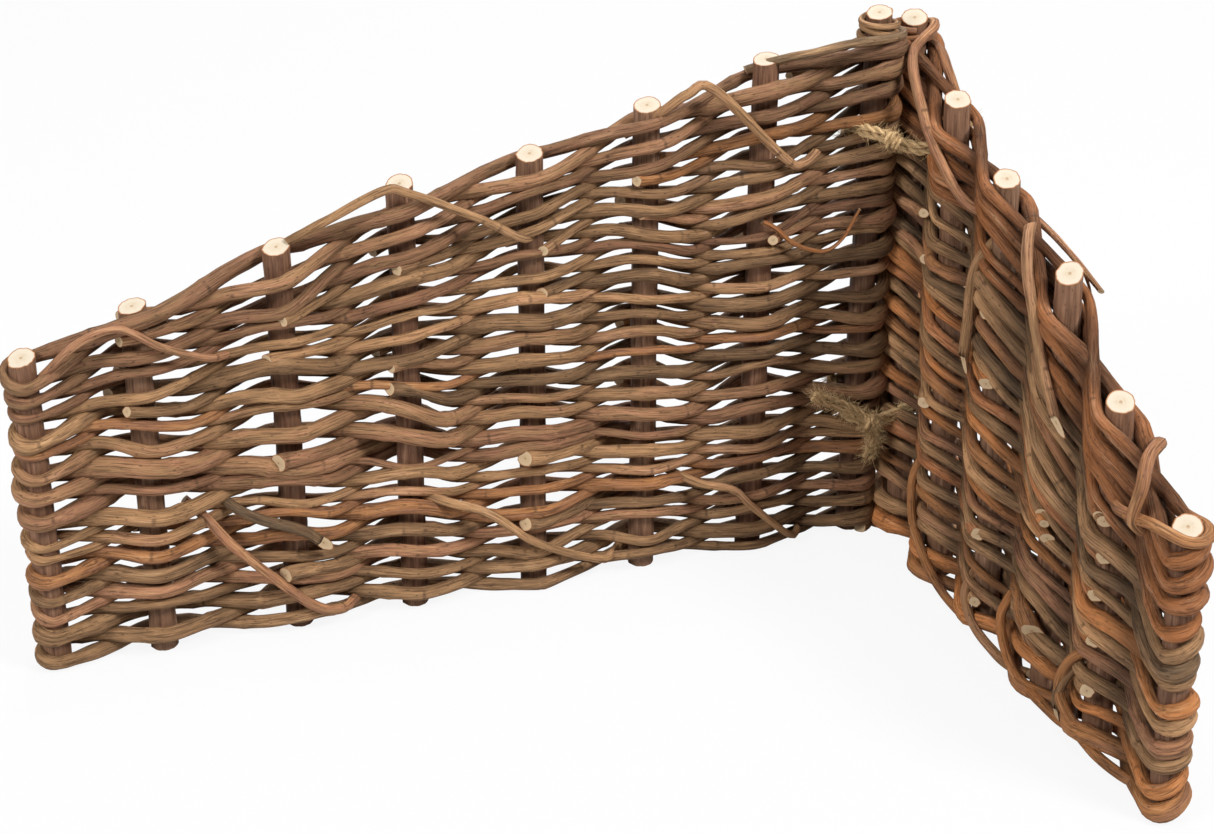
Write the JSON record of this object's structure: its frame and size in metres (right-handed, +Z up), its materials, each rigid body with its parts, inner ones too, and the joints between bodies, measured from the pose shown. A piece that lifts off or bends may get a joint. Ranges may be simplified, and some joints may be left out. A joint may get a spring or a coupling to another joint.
{
  "type": "woven willow privacy screen",
  "caption": "Corner privacy screen of two sloping hurdle panels: willow rods woven round upright stakes, lashed together at the corner with jute twine.",
  "frame": {"origin": "centre of the foot of the left panel's corner stake, on the ground, where the fold axis meets it", "axes": "+Z up; the left panel runs along -X from the corner and the right panel along -Y, so the inside of the corner faces -X and -Y"},
  "size_m": [0.516, 0.3408, 0.3125],
  "materials": {
    "stake_bark": "matte bark",
    "willow_bark": "satin bark",
    "jute": "fuzzy twine"
  },
  "bodies": {
    "left_panel": {"left_stake_1": "stake_bark", "left_stake_2": "stake_bark", "left_stake_3": "stake_bark", "left_stake_4": "stake_bark", "left_stake_5": "stake_bark", "left_stake_6": "stake_bark", "left_stake_7": "stake_bark", "left_stake_8": "stake_bark", "left_weave": "willow_bark", "left_tucked_rod_1": "willow_bark", "left_tucked_rod_2": "willow_bark", "left_tucked_rod_3": "willow_bark", "left_tucked_rod_4": "willow_bark", "left_tucked_rod_5": "willow_bark", "left_tucked_rod_6": "willow_bark", "left_curled_tip": "willow_bark", "upper_tie": "jute", "lower_tie": "jute"},
    "right_panel": {"right_stake_1": "stake_bark", "right_stake_2": "stake_bark", "right_stake_3": "stake_bark", "right_stake_4": "stake_bark", "right_stake_5": "stake_bark", "right_stake_6": "stake_bark", "right_weave": "willow_bark", "right_tucked_rod_1": "willow_bark", "right_tucked_rod_2": "willow_bark"}
  },
  "joints": [
    {"name": "corner_fold", "type": "hinge", "parent": "left_panel", "child": "right_panel", "pos_m": [0, 0, 0], "axis": [0, 0, 1], "range_deg": [-80, 85], "deforming": ["upper_tie", "lower_tie"]}
  ]
}
